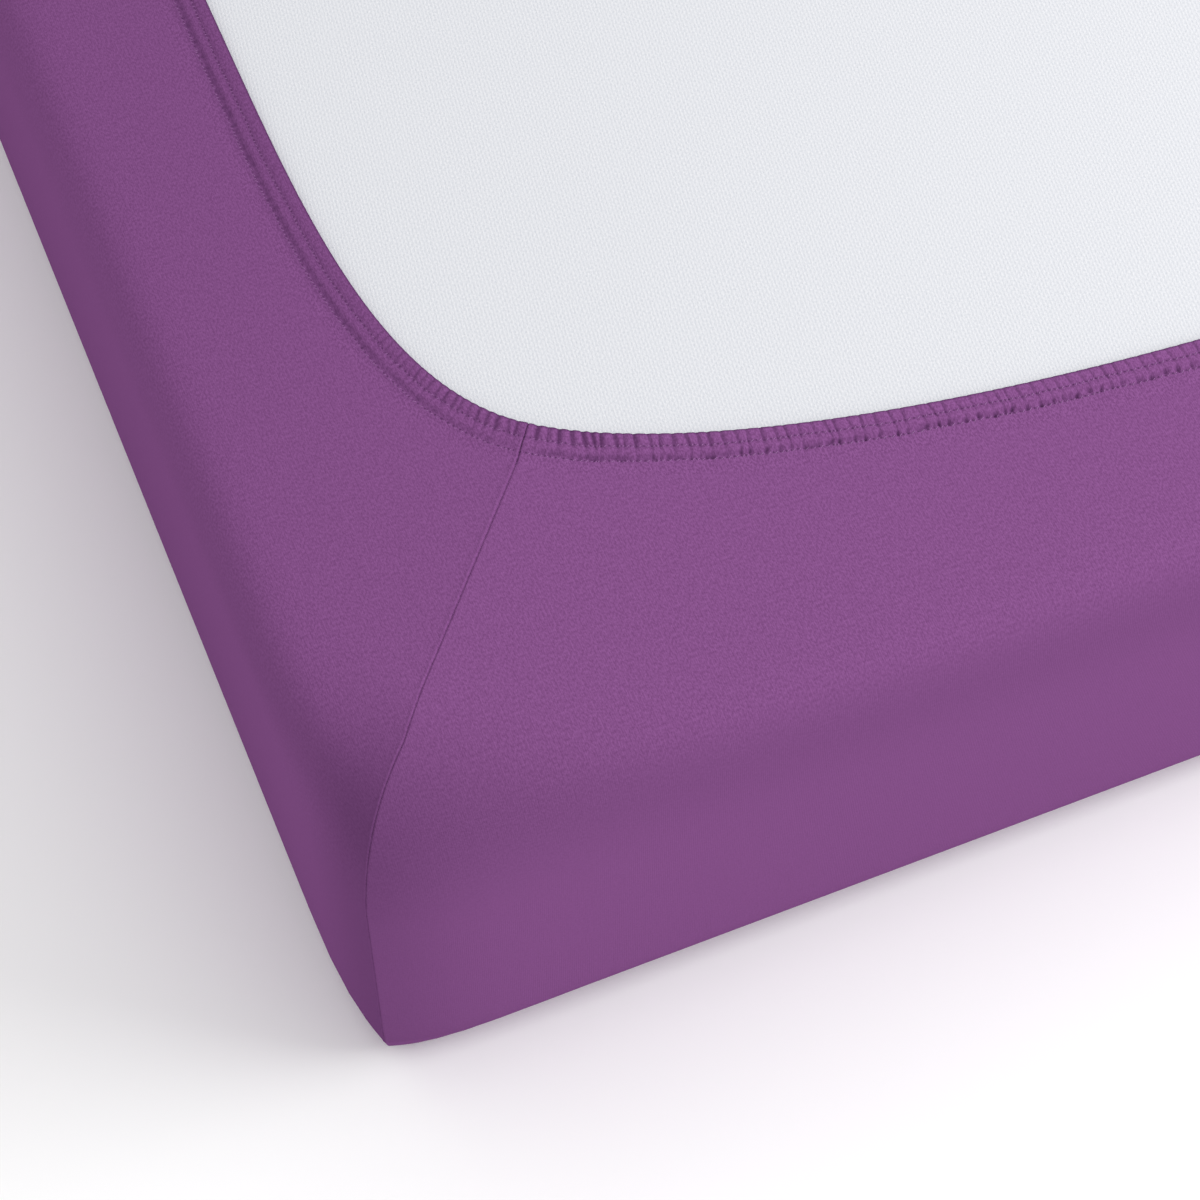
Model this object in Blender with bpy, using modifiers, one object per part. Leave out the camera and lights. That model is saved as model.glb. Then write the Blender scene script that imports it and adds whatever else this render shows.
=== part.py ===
"""Fitted sheet stretched over a mattress that lies underside up.

The sheet is one piece of jersey: a sleeping-side panel on the ground, four sides, and a flap
turned over the underside that ends in a wide elastic hem.  One seam at each corner runs from
the panel's corner up the mattress corner, over the fold and across the flap to the hem.
Metres, +Z up.  Origin at the middle of the sleeping-side panel, +Y along the mattress.
"""
import math

import bmesh
import bpy
from mathutils import Vector
from mathutils.geometry import interpolate_bezier

# Mattress: 140 x 200 cm and 20 cm thick, with soft foam edges.
MATTRESS_WIDTH = 1.40
MATTRESS_LENGTH = 2.00
MATTRESS_HEIGHT = 0.20
MATTRESS_CORNER_RADIUS = 0.080
MATTRESS_EDGE_RADIUS = 0.055
MATTRESS_EDGE_STEPS = 5

# Cloth, and the gap that it keeps to the flat faces of the mattress.
CLOTH = 0.0016
CLOTH_GAP = 0.0004
WRAP = CLOTH + CLOTH_GAP
WIDTH = MATTRESS_WIDTH + 2 * WRAP
LENGTH = MATTRESS_LENGTH + 2 * WRAP
FLAP_HEIGHT = MATTRESS_HEIGHT + 2 * WRAP

# Folds along the edges of the mattress.  A lean is the angle of the cloth's outward
# direction above the horizontal: -90 faces the ground, 0 faces sideways, 90 faces up.
LOWER_FOLD_RADIUS = 0.030
UPPER_FOLD_RADIUS = 0.036
LOWER_FOLD_LEANS = (-90, -67.5, -45, -22.5, 0)
UPPER_FOLD_LEANS = (0, 22.5, 45, 67.5, 90)
SIDE_HEIGHTS = (0.075, 0.125)

# The corner at each height: how far from the sharp corner each side begins to curve, how far
# the seam is drawn in from it, and the angle at which a side meets the seam (45: no crease).
CORNER_TABLE = (
    # height, reach, drawn in, angle
    (0.000, 0.102, 0.0096, 19),
    (0.080, 0.102, 0.0096, 19),
    (0.168, 0.105, 0.0096, 24),
    (0.204, 0.120, 0.0096, 32),
)
HANDLE_SHARE = 0.5
TIP_SHARE = 0.33        # of the lower fold's radius that is left where the seam crosses it

# Plan of the seam and of the hem on the flap, as distances from the long side and from the
# short side.  The hem bends round the corner in two curves that meet in line at the seam.
SEAM_AT_FOLD = (0.0457, 0.0548)
SEAM_AT_HEM = (0.1519, 0.1817)
HEM_ANGLE = 36.8
HEM_SHORT = {"inset": 0.106, "straight_from": 0.585, "far_handle": 0.2145, "seam_handle": 0.078}
HEM_LONG = {"inset": 0.0995, "straight_from": 0.445, "far_handle": 0.1145, "seam_handle": 0.0677}
FLAP_STEPS = 4

# Section through the hem: a tunnel round the elastic, sewn down by two rows of stitches.
HEM_TABLE = (
    # distance from the hem's edge, height above the flap
    (0.0175, 0.0000),
    (0.0130, 0.0014),
    (0.0098, 0.0014),
    (0.0078, 0.0006),
    (0.0056, 0.0018),
    (0.0018, 0.0018),
    (0.0000, 0.0008),
)
HEM_RISE = 0.0018

# Seam: a narrow groove where two cut edges are joined.
SEAM_HALF_WIDTH = 0.003
SEAM_DEPTH = 0.0006

THICKEST = CLOTH + HEM_RISE
THINNEST = CLOTH - SEAM_DEPTH

CURVE_STEPS = 10
STRAIGHT_STEPS = 2
MERGE = 0.0001


def clear_scene():
    for existing in list(bpy.data.objects):
        bpy.data.objects.remove(existing, do_unlink=True)


def finish(name, colour, roughness):
    material = bpy.data.materials.new(name)
    material.use_nodes = True
    shader = material.node_tree.nodes["Principled BSDF"]
    shader.inputs["Base Color"].default_value = (*colour, 1.0)
    shader.inputs["Roughness"].default_value = roughness
    shader.inputs["Metallic"].default_value = 0.0
    return material


def corner_at(height):
    """Reach, drawn-in distance and meeting angle of the corner at one height."""
    for low, high in zip(CORNER_TABLE, CORNER_TABLE[1:]):
        if height <= high[0]:
            share = (height - low[0]) / (high[0] - low[0])
            return [a + share * (b - a) for a, b in zip(low[1:], high[1:])]
    return list(CORNER_TABLE[-1][1:])


def plan_ring(short_side, seam, long_side):
    """Plan points from the middle of the short side, through the seam, to the long side's
    middle.  Each side gives its straight run's end, that end's handle and the seam's handle."""
    middles = (Vector((WIDTH / 2, short_side[0].y)), Vector((long_side[0].x, LENGTH / 2)))
    halves = []
    for (end, end_handle, seam_handle), middle in zip((short_side, long_side), middles):
        straight = [middle.lerp(end, step / STRAIGHT_STEPS) for step in range(STRAIGHT_STEPS)]
        curve = interpolate_bezier(
            end.to_3d(), end_handle.to_3d(), seam_handle.to_3d(), seam.to_3d(), CURVE_STEPS + 1)
        curve = [point.to_2d() for point in curve[:-1]]
        beside_seam = seam + (curve[-1] - seam).normalized() * SEAM_HALF_WIDTH
        halves.append(straight + curve + [beside_seam])
    return halves[0] + [seam] + halves[1][::-1]


def side_ring(inset, height):
    """Ring round the sides or a fold, at one inset from the sides' outer planes."""
    reach, drawn_in, angle = corner_at(height)
    meeting = math.radians(angle)
    upright_seam = Vector((drawn_in, drawn_in))
    if height > MATTRESS_HEIGHT / 2:
        seam = upright_seam.lerp(Vector(SEAM_AT_FOLD), inset / UPPER_FOLD_RADIUS)
    else:
        seam = upright_seam + Vector((inset, inset)) * TIP_SHARE
    side_handle = HANDLE_SHARE * (reach - drawn_in)
    seam_handle = min(side_handle, drawn_in / math.sin(meeting))
    short_end = Vector((inset + reach, inset))
    long_end = Vector((inset, inset + reach))
    short_side = (
        short_end,
        short_end - Vector((side_handle, 0)),
        seam + seam_handle * Vector((math.cos(meeting), -math.sin(meeting))),
    )
    long_side = (
        long_end,
        long_end - Vector((0, side_handle)),
        seam + seam_handle * Vector((-math.sin(meeting), math.cos(meeting))),
    )
    return plan_ring(short_side, seam, long_side)


def hem_ring():
    """The hem's edge in plan."""
    seam = Vector(SEAM_AT_HEM)
    along = Vector((math.cos(math.radians(HEM_ANGLE)), -math.sin(math.radians(HEM_ANGLE))))
    short_end = Vector((HEM_SHORT["straight_from"], HEM_SHORT["inset"]))
    long_end = Vector((HEM_LONG["inset"], HEM_LONG["straight_from"]))
    short_side = (
        short_end,
        short_end - Vector((HEM_SHORT["far_handle"], 0)),
        seam + along * HEM_SHORT["seam_handle"],
    )
    long_side = (
        long_end,
        long_end - Vector((0, HEM_LONG["far_handle"])),
        seam - along * HEM_LONG["seam_handle"],
    )
    return plan_ring(short_side, seam, long_side)


def moved_out(ring, distance):
    """The ring moved towards the mattress edges by one distance, square to itself."""
    moved = []
    for index, point in enumerate(ring):
        before = ring[max(index - 1, 0)]
        after = ring[min(index + 1, len(ring) - 1)]
        along = (after - before).normalized()
        if index == 0:
            along = Vector((-1, 0))
        elif index == len(ring) - 1:
            along = Vector((0, 1))
        moved.append(point + distance * Vector((-along.y, along.x)))
    return moved


def cloth_rows():
    """Rows of the quarter sheet from the sleeping-side panel up to the hem's edge: each has
    its plan ring, its height, the lean of the cloth and how deep the seam sinks."""
    rows = []
    for lean in LOWER_FOLD_LEANS:
        turn = math.radians(lean)
        inset = LOWER_FOLD_RADIUS * (1 - math.cos(turn))
        height = LOWER_FOLD_RADIUS * (1 + math.sin(turn))
        depth = SEAM_DEPTH if lean == 0 else 0.0
        rows.append((side_ring(inset, height), height, turn, depth, 0.0))
    for height in SIDE_HEIGHTS:
        rows.append((side_ring(0.0, height), height, 0.0, SEAM_DEPTH, 0.0))
    for lean in UPPER_FOLD_LEANS:
        turn = math.radians(lean)
        inset = UPPER_FOLD_RADIUS * (1 - math.cos(turn))
        height = FLAP_HEIGHT - UPPER_FOLD_RADIUS * (1 - math.sin(turn))
        rows.append((side_ring(inset, height), height, turn, SEAM_DEPTH, 0.0))
    facing_up = math.pi / 2
    fold = rows[-1][0]
    hem = hem_ring()
    band = moved_out(hem, HEM_TABLE[0][0])
    for step in range(1, FLAP_STEPS):
        share = step / FLAP_STEPS
        ring = [a.lerp(b, share) for a, b in zip(fold, band)]
        rows.append((ring, FLAP_HEIGHT, facing_up, SEAM_DEPTH, 0.0))
    for distance, rise in HEM_TABLE:
        rows.append((moved_out(hem, distance), FLAP_HEIGHT + rise, facing_up, 0.0, rise))
    return rows


def make_sheet(collection):
    """One corner of the sheet as an open surface, mirrored to four and given its thickness."""
    shape = bmesh.new()
    thick = shape.verts.layers.deform.verify()
    grid = []
    inwards = Vector((math.sqrt(0.5), math.sqrt(0.5), 0))
    for ring, height, turn, depth, rise in cloth_rows():
        line = []
        for index, (from_long, from_short) in enumerate(ring):
            place = Vector((from_long - WIDTH / 2, from_short - LENGTH / 2, height))
            thickness = CLOTH + rise
            if index == len(ring) // 2:
                place += depth * (inwards * math.cos(turn) - Vector((0, 0, math.sin(turn))))
                thickness -= depth
            vertex = shape.verts.new(place)
            vertex[thick][0] = (thickness - THINNEST) / (THICKEST - THINNEST)
            line.append(vertex)
        grid.append(line)
    middle = shape.verts.new((0, 0, 0))
    middle[thick][0] = (CLOTH - THINNEST) / (THICKEST - THINNEST)
    shape.faces.new(grid[0] + [middle])
    for lower, upper in zip(grid, grid[1:]):
        for column in range(len(lower) - 1):
            shape.faces.new((lower[column], upper[column], upper[column + 1], lower[column + 1]))
    mesh = bpy.data.meshes.new("fitted_sheet")
    shape.to_mesh(mesh)
    shape.free()
    mesh.shade_smooth()
    sheet = bpy.data.objects.new("fitted_sheet", mesh)
    collection.objects.link(sheet)
    sheet.vertex_groups.new(name="thickness")
    corners = sheet.modifiers.new("four corners", "MIRROR")
    corners.use_axis = (True, True, False)
    corners.merge_threshold = MERGE
    body = sheet.modifiers.new("cloth and hem", "SOLIDIFY")
    body.thickness = THICKEST
    body.offset = -1
    body.vertex_group = "thickness"
    body.thickness_vertex_group = THINNEST / THICKEST
    mesh.materials.append(finish("purple jersey", (0.246, 0.082, 0.270), 0.85))
    return sheet


def make_mattress(collection):
    """A foam block with round corners, a little clear of the cloth at every edge."""
    shape = bmesh.new()
    bmesh.ops.create_cube(shape, size=1.0)
    size = Vector((MATTRESS_WIDTH, MATTRESS_LENGTH, MATTRESS_HEIGHT))
    bmesh.ops.scale(shape, vec=size, verts=shape.verts)
    weight = shape.edges.layers.float.new("bevel_weight_edge")
    for edge in shape.edges:
        upright = abs(edge.verts[0].co.z - edge.verts[1].co.z) > MERGE
        edge[weight] = 1.0 if upright else MATTRESS_EDGE_RADIUS / MATTRESS_CORNER_RADIUS
    mesh = bpy.data.meshes.new("mattress")
    shape.to_mesh(mesh)
    shape.free()
    mesh.shade_smooth()
    mattress = bpy.data.objects.new("mattress", mesh)
    collection.objects.link(mattress)
    mattress.location.z = WRAP + MATTRESS_HEIGHT / 2
    edges = mattress.modifiers.new("soft edges", "BEVEL")
    edges.limit_method = "WEIGHT"
    edges.width = MATTRESS_CORNER_RADIUS
    edges.segments = MATTRESS_EDGE_STEPS
    mesh.materials.append(finish("white ticking", (0.80, 0.84, 0.87), 0.75))
    return mattress


clear_scene()
parts = bpy.data.collections.new("fitted sheet on mattress")
bpy.context.scene.collection.children.link(parts)
make_sheet(parts)
make_mattress(parts)
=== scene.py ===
"""Purple jersey fitted sheet, pulled over a mattress that lies underside up.

The photograph looks down on one corner: the flap with its gathered elastic hem, the corner
seam and two sides of the sheet.  Metres, +Z up, +Y along the mattress.
"""
import math
import random
from bisect import bisect_right
from collections import namedtuple

import bpy
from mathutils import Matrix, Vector
from mathutils.geometry import interpolate_bezier


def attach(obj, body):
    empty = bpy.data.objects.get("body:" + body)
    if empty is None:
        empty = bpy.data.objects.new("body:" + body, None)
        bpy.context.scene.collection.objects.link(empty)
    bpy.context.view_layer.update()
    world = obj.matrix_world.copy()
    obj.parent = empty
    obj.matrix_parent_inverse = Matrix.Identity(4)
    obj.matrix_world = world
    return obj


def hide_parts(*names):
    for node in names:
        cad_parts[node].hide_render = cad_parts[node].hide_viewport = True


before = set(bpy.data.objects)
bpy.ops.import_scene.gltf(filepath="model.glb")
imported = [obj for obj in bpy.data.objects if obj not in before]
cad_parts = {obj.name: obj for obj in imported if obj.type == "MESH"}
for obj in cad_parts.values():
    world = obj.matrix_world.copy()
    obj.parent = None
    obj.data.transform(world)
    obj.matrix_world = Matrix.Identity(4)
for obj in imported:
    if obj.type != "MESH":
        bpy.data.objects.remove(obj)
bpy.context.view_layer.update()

# ------------------------------------------------------------------------------ mattress
# A foam mattress of 140 x 200 cm, 20 cm thick, in a cover of cool white knitted ticking.
# It lies underside up and only carries the sheet: the hem's mouth shows the middle of it.
MATTRESS_WIDTH, MATTRESS_LENGTH, MATTRESS_HEIGHT = 1.40, 2.00, 0.20
MATTRESS_FOOT = 0.002                   # the sheet's sleeping-side panel lies under it
MATTRESS_CORNER, MATTRESS_EDGE = 0.080, 0.055
MATTRESS_ARC_STEPS = 12
LEAST_CORNER = 0.012                    # of the rings inside its edge
# The foam swells a little in the hem's mouth: inset from the sides, rise.
MATTRESS_CROWN = ((0.16, 0.0), (0.20, 0.0002), (0.26, 0.0005), (0.34, 0.0008), (0.45, 0.0009),
                  (0.60, 0.0010))
# Colours of the ticking's raised ribs and of the ground between them.
RIB_WHITE = (0.740, 0.743, 0.769)
GROUND_WHITE = (0.579, 0.596, 0.638)
# The ribs of the knit cross in three directions: cycles per metre along X and Y, and weight.
TICKING_RIBS = (((-583.0, 86.0), 0.40), ((272.0, -366.0), 0.17), ((-311.0, -280.0), 0.13))
TICKING_WANDER = 0.0012                 # how far the yarns stray from straight ribs
WANDERS_PER_METRE = 420.0
# Slubs in the yarn, longer along the ribs than across them, and their weight beside the ribs.
SLUBS_PER_METRE, SLUB_TURN, SLUB_WEIGHT = (1650, 960, 1), math.radians(8), 2.8
ALL_GROUND, ALL_RIB = 0.35, 2.45        # the relief's heights that have the two colours
TICKING_RELIEF = 0.0002


def mattress_ring(inset):
    """Outline of the mattress in plan, moved in from its sides."""
    radius = max(MATTRESS_CORNER - inset, LEAST_CORNER)
    half = Vector((MATTRESS_WIDTH / 2 - inset - radius, MATTRESS_LENGTH / 2 - inset - radius))
    ring = []
    for corner, signs in enumerate(((1, 1), (-1, 1), (-1, -1), (1, -1))):
        for step in range(MATTRESS_ARC_STEPS + 1):
            turn = math.radians(90) * (corner + step / MATTRESS_ARC_STEPS)
            ring.append(Vector((signs[0] * half.x + radius * math.cos(turn),
                                signs[1] * half.y + radius * math.sin(turn))))
    return ring


def mattress_mesh():
    rows = []
    for step in range(MATTRESS_ARC_STEPS + 1):
        lean = math.radians(-90 + 90 * step / MATTRESS_ARC_STEPS)
        rows.append((MATTRESS_EDGE * (1 - math.cos(lean)), MATTRESS_EDGE * (1 + math.sin(lean))))
    rows += [(inset, MATTRESS_HEIGHT - height) for inset, height in reversed(rows)]
    rows += [(inset, MATTRESS_HEIGHT + rise) for inset, rise in MATTRESS_CROWN]
    points = [(*point, MATTRESS_FOOT + height)
              for inset, height in rows for point in mattress_ring(inset)]
    around = len(mattress_ring(0))
    faces = [tuple(range(around))[::-1],
             tuple(range(len(points) - around, len(points)))]
    for start in range(0, len(points) - around, around):
        for column in range(around):
            after = (column + 1) % around
            faces.append((start + column, start + after,
                          start + around + after, start + around + column))
    mesh = bpy.data.meshes.new("ticking_mattress")
    mesh.from_pydata(points, [], faces)
    mesh.shade_smooth()
    return mesh


def new_material(name):
    material = bpy.data.materials.new(name)
    material.use_nodes = True
    tree = material.node_tree
    return material, tree, tree.nodes["Principled BSDF"]


def add_node(tree, kind, settings=(), inputs=()):
    """A shader node with its settings; an input takes a number, a colour or another's output."""
    node = tree.nodes.new(kind)
    for name, value in dict(settings).items():
        setattr(node, name, value)
    for name, value in dict(inputs).items():
        if isinstance(value, bpy.types.NodeSocket):
            tree.links.new(value, node.inputs[name])
        else:
            node.inputs[name].default_value = value
    return node


def calculate(tree, operation, *values):
    """One sum of a shader's numbers, each a number or another node's output."""
    return add_node(tree, "ShaderNodeMath", {"operation": operation},
                    dict(enumerate(values))).outputs[0]


def mix_colours(tree, share, first, second):
    """A colour between two, each a colour or another node's output."""
    node = add_node(tree, "ShaderNodeMix", {"data_type": "RGBA"}, {0: share})
    for socket, colour in ((node.inputs[6], first), (node.inputs[7], second)):
        if isinstance(colour, bpy.types.NodeSocket):
            tree.links.new(colour, socket)
        else:
            socket.default_value = (*colour, 1)
    return node.outputs[2]


def ticking_material():
    material, tree, shader = new_material("white ticking")
    place = add_node(tree, "ShaderNodeTexCoord").outputs["Object"]
    stray = add_node(tree, "ShaderNodeTexNoise", {},
                     {"Vector": place, "Scale": WANDERS_PER_METRE, "Detail": 2.0})
    stray = add_node(tree, "ShaderNodeVectorMath", {"operation": "MULTIPLY_ADD"},
                     {0: stray.outputs["Color"], 1: (TICKING_WANDER,) * 3, 2: place}).outputs[0]
    relief = 0.0
    for cycles, weight in TICKING_RIBS:
        phase = add_node(tree, "ShaderNodeVectorMath", {"operation": "DOT_PRODUCT"},
                         {0: stray, 1: (*cycles, 0.0)}).outputs["Value"]
        rib = calculate(tree, "SINE", calculate(tree, "MULTIPLY", phase, 2 * math.pi))
        relief = calculate(tree, "MULTIPLY_ADD", rib, weight, relief)
    slubs = add_node(tree, "ShaderNodeMapping", {},
                     {"Vector": place, "Rotation": (0, 0, SLUB_TURN), "Scale": SLUBS_PER_METRE})
    uneven = add_node(tree, "ShaderNodeTexNoise", {"noise_dimensions": "2D"},
                      {"Vector": slubs.outputs[0], "Scale": 1.0, "Detail": 2.0}).outputs["Fac"]
    relief = calculate(tree, "MULTIPLY_ADD", uneven, SLUB_WEIGHT, relief)
    tone = add_node(tree, "ShaderNodeMapRange", {},
                    {"Value": relief, "From Min": ALL_GROUND, "From Max": ALL_RIB}).outputs[0]
    tree.links.new(mix_colours(tree, tone, GROUND_WHITE, RIB_WHITE), shader.inputs["Base Color"])
    bump = add_node(tree, "ShaderNodeBump", {},
                    {"Height": relief, "Strength": 0.22, "Distance": TICKING_RELIEF})
    tree.links.new(bump.outputs[0], shader.inputs["Normal"])
    shader.inputs["Roughness"].default_value = 0.8
    shader.inputs["Specular IOR Level"].default_value = 0.3
    return material


mattress = bpy.data.objects.new("ticking_mattress", mattress_mesh())
bpy.context.scene.collection.objects.link(mattress)
mattress.data.materials.append(ticking_material())
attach(mattress, "root")
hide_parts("mattress")

# -------------------------------------------------------------------- cloth of the sheet
# One piece of stretch jersey: sleeping-side panel, four sides and the flap over the
# underside, pulled tight.  The corners are cut out and closed by a seam that runs from the
# panel up the mattress corner, over the fold and across the flap; its join shows as a groove.
CLOTH_WIDTH, CLOTH_LENGTH, FLAP_HEIGHT = 1.404, 2.004, 0.204
PANEL_INSETS = (0.55, 0.40, 0.25, 0.12, 0.05)  # of the sleeping side's rings
LOWER_FOLD = 0.030                      # radius
LOWER_ARC = LOWER_FOLD * math.pi / 2
SIDE_TOP = 0.150
SIDE_HEIGHT = SIDE_TOP - LOWER_FOLD
# The upper fold's section as a curve's ends and handles, by inset and height: it turns over
# sharply along the sides, and wide and round by the seams, from where it eases off.
UPPER_FOLD = 0.036
SHARP_FOLD = ((0, SIDE_TOP), (0, 0.2032), (0.0065, FLAP_HEIGHT), (UPPER_FOLD, FLAP_HEIGHT))
ROUND_FOLD = ((0, SIDE_TOP), (0, 0.178), (0.024, FLAP_HEIGHT), (0.052, FLAP_HEIGHT))
SHORT_ROUNDNESS, LONG_ROUNDNESS = 0.095, 0.060
# The corner at each height: where the sides begin to curve, how far the seam is drawn in,
# and the angle at which a side meets the seam (45 is no crease).
CORNER = ((0.000, 0.102, 0.0096, 19), (0.080, 0.102, 0.0096, 19),
          (0.168, 0.105, 0.0096, 24), (0.204, 0.120, 0.0096, 32))
TIP_SHARE = 0.33                        # of the lower fold's inset that the seam takes part in
# The seam and the hem on the flap, as distances from the long and from the short side.
SEAM_AT_FOLD = Vector((0.0457, 0.0548))
SEAM_AT_HEM = Vector((0.1519, 0.1817))
SEAM_BEND = 0.003                       # how far it bends to the long side over the fold
HEM_ANGLE = math.radians(36.8)
HEM_SHORT = {"inset": 0.106, "straight_from": 0.585, "far_handle": 0.2145, "seam_handle": 0.078}
HEM_LONG = {"inset": 0.0995, "straight_from": 0.445, "far_handle": 0.1145, "seam_handle": 0.0677}
HEM_BAND = 0.0215                       # from the hem's edge, where the gathered strip begins
CURVE_POINTS = 60
ROW_PITCH = 0.0013                      # half a seam stitch
# Columns beside the seam, then shares of what is left up to the middle of the side.
BESIDE_SEAM = (0.0, 0.0002, 0.0004, 0.0007, 0.0011, 0.0016, 0.0024, 0.0036, 0.0056, 0.009)
SHARES = [(step / 20) ** 1.7 for step in range(1, 21)]
# The join's groove, with its share at one row of cloth and at the next on the upright corner.
GROOVE, GROOVE_WIDTH, GROOVE_SHARES = 0.00062, 0.00032, (1.2, 0.6)
# The turned edge beside it on the long side: height, distance from the join, half width.
SEAM_LIP, LIP_PLACE, LIP_WIDTH = 0.00028, 0.0010, 0.0006
# The puckers along it: height, from where they are full, reach, share of them that is left on
# the flap, and their waves as size, pace and start.
SEAM_PUCKER, PUCKER_START, PUCKER_REACH, FLAP_PUCKER = 0.00016, 0.001, 0.0055, 0.4
PUCKER_WAVES = ((1.0, 0.83, 0), (0.7, 0.31, 1), (0.5, 1.57, 2))
# Painted shade in the cloth's colour, on the short and on the long sides: on the flap by the
# seam, and what comes to it further on; beside the seam on the upright corner; along the upper
# fold, and what comes to it by the seam, with its reach; and the height and half width of the
# fold's band.
PaintedShades = namedtuple("PaintedShades", "flap flap_gain corner fold fold_gain reach height spread")
SHORT_SHADES = PaintedShades(0.00, 0.00, 0.18, 0.13, 0.10, 0.080, 0.184, 0.030)
LONG_SHADES = PaintedShades(0.07, 0.09, 0.38, 0.08, 0.13, 0.150, 0.190, 0.014)
FLAP_GAIN_REACH, CORNER_SHADE_REACH = 0.35, 0.035
HIDDEN_FACING = -0.4                    # cloth that faces the ground more has no seam relief


def half_rings(height, inset):
    """The two halves of a side's ring: from the seam to the short side's and to the long
    side's middle, as distances from the long side and from the short side."""
    for low, high in zip(CORNER, CORNER[1:]):
        if height <= high[0] + 1e-6:
            share = (height - low[0]) / (high[0] - low[0])
            reach, drawn_in, angle = [a + share * (b - a) for a, b in zip(low[1:], high[1:])]
            break
    meeting = math.radians(angle)
    if height > MATTRESS_HEIGHT / 2:
        over = inset / UPPER_FOLD
        seam = Vector((drawn_in, drawn_in)).lerp(SEAM_AT_FOLD, over)
        seam.x -= SEAM_BEND * 4 * over * max(1 - over, 0)
    else:
        seam = Vector((drawn_in, drawn_in)) + Vector((inset, inset)) * TIP_SHARE
    side_handle = (reach - drawn_in) / 2
    seam_handle = min(side_handle, drawn_in / math.sin(meeting))
    out, back = seam_handle * math.cos(meeting), seam_handle * math.sin(meeting)
    return (
        half_ring(seam, seam + Vector((out, -back)), Vector((inset + reach - side_handle, inset)),
                  Vector((inset + reach, inset)), Vector((CLOTH_WIDTH / 2, inset))),
        half_ring(seam, seam + Vector((-back, out)), Vector((inset, inset + reach - side_handle)),
                  Vector((inset, inset + reach)), Vector((inset, CLOTH_LENGTH / 2))),
    )


def half_ring(seam, seam_handle, end_handle, end, middle):
    curve = interpolate_bezier(seam.to_3d(), seam_handle.to_3d(), end_handle.to_3d(),
                               end.to_3d(), CURVE_POINTS)
    return [point.to_2d() for point in curve] + [middle]


def hem_halves():
    """The hem's edge from the seam to the middle of the short and of the long side."""
    along = Vector((math.cos(HEM_ANGLE), -math.sin(HEM_ANGLE)))
    short_end = Vector((HEM_SHORT["straight_from"], HEM_SHORT["inset"]))
    long_end = Vector((HEM_LONG["inset"], HEM_LONG["straight_from"]))
    return (
        half_ring(SEAM_AT_HEM, SEAM_AT_HEM + along * HEM_SHORT["seam_handle"],
                  short_end - Vector((HEM_SHORT["far_handle"], 0)), short_end,
                  Vector((CLOTH_WIDTH / 2, short_end.y))),
        half_ring(SEAM_AT_HEM, SEAM_AT_HEM - along * HEM_LONG["seam_handle"],
                  long_end - Vector((0, HEM_LONG["far_handle"])), long_end,
                  Vector((long_end.x, CLOTH_LENGTH / 2))),
    )


class Path:
    """A fine line in plan that can be read at any distance along it."""

    def __init__(self, points):
        self.points = points
        self.marks = [0.0]
        for a, b in zip(points, points[1:]):
            self.marks.append(self.marks[-1] + (b - a).length)
        self.length = self.marks[-1]
        steps = [(b - a).normalized() for a, b in zip(points, points[1:])]
        self.along = [(a + b).normalized() for a, b in zip(steps, steps[1:])]
        self.along.insert(0, (3 * steps[0] - steps[1]).normalized())
        self.along.append((3 * steps[-1] - steps[-2]).normalized())

    def at(self, distance):
        """The point at a distance, and the direction of the line there."""
        distance = min(max(distance, 0.0), self.length)
        index = min(bisect_right(self.marks, distance) - 1, len(self.points) - 2)
        share = (distance - self.marks[index]) / (self.marks[index + 1] - self.marks[index])
        return (self.points[index].lerp(self.points[index + 1], share),
                self.along[index].lerp(self.along[index + 1], share))


sharp_fold, round_fold = [
    Path([point.to_2d() for point in interpolate_bezier(
        *(Vector(place).to_3d() for place in section), CURVE_POINTS)])
    for section in (SHARP_FOLD, ROUND_FOLD)]
# The length of cloth from the panel's edge to the flap.
FLAP_RUN = LOWER_ARC + SIDE_HEIGHT + sharp_fold.length


def bell(distance, reach):
    """1 in the middle, falling off smoothly on both sides; 0.37 at the reach."""
    return math.exp(-(distance / reach) ** 2)


def columns(halves, height, lean, outwards=0.0):
    """The cloth's columns on both halves of a ring, from the middle of the short side over
    the seam to the middle of the long side: place, direction that the cloth faces, distance
    from the seam, and whether it is on the long side.  The ring can be moved outwards."""
    lines = []
    for half, turn in zip(halves, (1, -1)):
        path = Path(half)
        rest = path.length - BESIDE_SEAM[-1]
        line = []
        for mark in [*BESIDE_SEAM, *(BESIDE_SEAM[-1] + share * rest for share in SHARES)]:
            point, along = path.at(mark)
            out = turn * Vector((along.y, -along.x))
            line.append((point + outwards * out, out, mark, turn < 0))
        lines.append(line)
    short, long = lines
    point, out, mark, _ = short[0]
    seam = (point, (out + long[0][1]).normalized(), mark, False)
    return [(Vector((*point, height)), Vector((*(math.cos(lean) * out), math.sin(lean))), *rest)
            for point, out, *rest in short[:0:-1] + [seam] + long[1:]]


def fold_columns(share):
    """The columns at a share of the upper fold, round by the seam and sharp further on."""
    lines = []
    for fold in (round_fold, sharp_fold):
        (inset, height), towards = fold.at(fold.length * share)
        lean = math.atan2(towards.x, towards.y)
        lines.append(columns(half_rings(height, inset), height, lean))
    line = []
    for (place, facing, *_), (sharp_place, sharp_facing, beside, on_long) in zip(*lines):
        sharp = 1 - bell(beside, LONG_ROUNDNESS if on_long else SHORT_ROUNDNESS)
        line.append((place.lerp(sharp_place, sharp), facing.lerp(sharp_facing, sharp).normalized(),
                     beside, on_long))
    return line


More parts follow.
